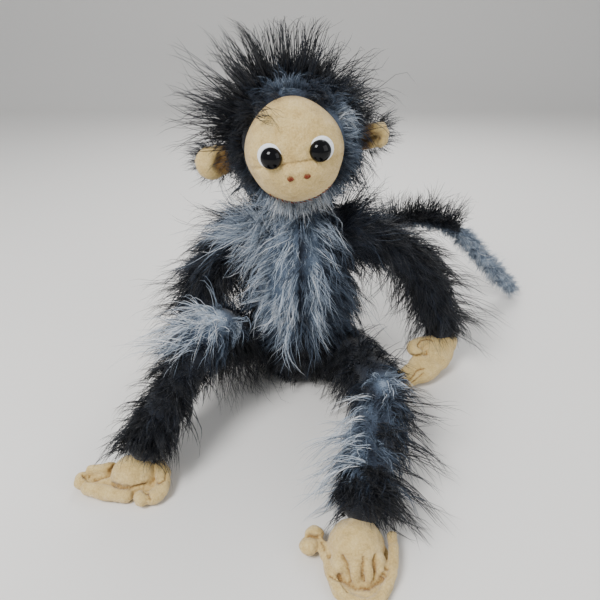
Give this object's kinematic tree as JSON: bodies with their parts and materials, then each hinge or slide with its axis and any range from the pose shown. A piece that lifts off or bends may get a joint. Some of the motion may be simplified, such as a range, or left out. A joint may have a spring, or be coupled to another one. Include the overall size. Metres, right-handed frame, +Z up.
{
  "type": "stuffed monkey",
  "caption": "Seated soft toy monkey in long mohair with felt face, ears, hands and feet, disc-jointed head and limbs and a wired tail.",
  "frame": {"origin": "centre of the flat spot the toy sits on", "axes": "+Z up, the face looks towards -Y, +X is the toy's own left"},
  "size_m": [0.3474, 0.3275, 0.234],
  "materials": {
    "mohair_black": "long black mohair pile",
    "mohair_grey": "long blue-grey mohair pile",
    "felt_tan": "short brushed tan felt",
    "felt_white": "white wool felt",
    "eye_glass": "polished black",
    "thread_brown": "twisted embroidery thread",
    "filling": "packed wool and wood fibre",
    "fibreboard": "pressed board",
    "steel": "plain wire"
  },
  "bodies": {
    "torso": {"torso_front_left": "mohair_grey", "torso_front_right": "mohair_grey", "torso_back_left": "mohair_grey", "torso_back_right": "mohair_grey", "torso_stuffing": "filling", "inner_joint_discs": "fibreboard", "joint_washers": "steel"},
    "head": {"head_gusset": "mohair_black", "head_side_left": "mohair_black", "head_side_right": "mohair_black", "head_stuffing": "filling", "crown_pile": "mohair_black", "neck_disc_upper": "fibreboard", "neck_cotter_pin": "steel", "face_upper": "felt_tan", "face_muzzle": "felt_tan", "eye_glasses": "eye_glass", "eye_felts": "felt_white", "eye_wire_loops": "steel", "face_stitches": "thread_brown", "ear_left": "felt_tan", "ear_right": "felt_tan"},
    "upper_arm_left": {"upper_arm_sleeve_left": "mohair_black", "upper_arm_stuffing_left": "filling", "shoulder_disc_left": "fibreboard", "shoulder_cotter_pin_left": "steel"},
    "forearm_left": {"forearm_sleeve_left": "mohair_black", "forearm_stuffing_left": "filling", "hand_back_left": "felt_tan", "hand_palm_left": "felt_tan"},
    "thigh_left": {"thigh_sleeve_left": "mohair_black", "thigh_stuffing_left": "filling", "hip_disc_left": "fibreboard", "hip_cotter_pin_left": "steel"},
    "shin_left": {"shin_sleeve_left": "mohair_black", "shin_stuffing_left": "filling", "foot_top_left": "felt_tan", "foot_sole_left": "felt_tan"},
    "upper_arm_right": {"upper_arm_sleeve_right": "mohair_black", "upper_arm_stuffing_right": "filling", "shoulder_disc_right": "fibreboard", "shoulder_cotter_pin_right": "steel"},
    "forearm_right": {"forearm_sleeve_right": "mohair_black", "forearm_stuffing_right": "filling", "hand_back_right": "felt_tan", "hand_palm_right": "felt_tan"},
    "thigh_right": {"thigh_sleeve_right": "mohair_black", "thigh_stuffing_right": "filling", "hip_disc_right": "fibreboard", "hip_cotter_pin_right": "steel"},
    "shin_right": {"shin_sleeve_right": "mohair_black", "shin_stuffing_right": "filling", "foot_top_right": "felt_tan", "foot_sole_right": "felt_tan"},
    "tail_base": {"tail_sleeve_base": "mohair_black", "tail_wire_base": "steel"},
    "tail_middle": {"tail_sleeve_middle": "mohair_black", "tail_wire_middle": "steel"},
    "tail_tip": {"tail_sleeve_tip": "mohair_grey", "tail_wire_tip": "steel"}
  },
  "joints": [
    {"name": "neck_turn", "type": "hinge", "parent": "torso", "child": "head", "pos_m": [-0.002, -0.0035, 0.14], "axis": [0, 0, 1], "continuous": true},
    {"name": "shoulder_left_turn", "type": "hinge", "parent": "torso", "child": "upper_arm_left", "pos_m": [0.039, 0, 0.112], "axis": [1, 0, 0], "range_deg": [-170, 40]},
    {"name": "shoulder_right_turn", "type": "hinge", "parent": "torso", "child": "upper_arm_right", "pos_m": [-0.039, 0, 0.112], "axis": [1, 0, 0], "range_deg": [-12, 110]},
    {"name": "elbow_left_bend", "type": "hinge", "parent": "upper_arm_left", "child": "forearm_left", "pos_m": [0.091, 0, 0.087], "axis": [0.0316, 0.9973, 0.0657], "range_deg": [-44, 12]},
    {"name": "elbow_right_bend", "type": "hinge", "parent": "upper_arm_right", "child": "forearm_right", "pos_m": [-0.071, 0.005, 0.076], "axis": [0.0337, -0.9854, -0.1668], "range_deg": [-20, 15]},
    {"name": "hip_left_turn", "type": "hinge", "parent": "torso", "child": "thigh_left", "pos_m": [0.025, -0.01, 0.026], "axis": [1, 0, 0], "range_deg": [-25, 95]},
    {"name": "hip_right_turn", "type": "hinge", "parent": "torso", "child": "thigh_right", "pos_m": [-0.025, -0.01, 0.026], "axis": [1, 0, 0], "range_deg": [-8, 125]},
    {"name": "knee_left_bend", "type": "hinge", "parent": "thigh_left", "child": "shin_left", "pos_m": [0.054, -0.082, 0.037], "axis": [0.5716, 0.0415, -0.8194], "range_deg": [-38, 40]},
    {"name": "knee_right_bend", "type": "hinge", "parent": "thigh_right", "child": "shin_right", "pos_m": [-0.057, -0.054, 0.07], "axis": [0.8784, -0.4779, 0.0013], "range_deg": [-69, 20]},
    {"name": "tail_root_swing", "type": "hinge", "parent": "torso", "child": "tail_base", "pos_m": [0.007, 0.04, 0.024], "axis": [0, 0, 1], "range_deg": [0, 60]},
    {"name": "tail_middle_bend", "type": "hinge", "parent": "tail_base", "child": "tail_middle", "pos_m": [0.065, 0.075, 0.086], "axis": [0, 0, 1], "range_deg": [-15, 30]},
    {"name": "tail_tip_bend", "type": "hinge", "parent": "tail_middle", "child": "tail_tip", "pos_m": [0.142, 0.094, 0.078], "axis": [0, 0, 1], "range_deg": [-15, 30]}
  ]
}
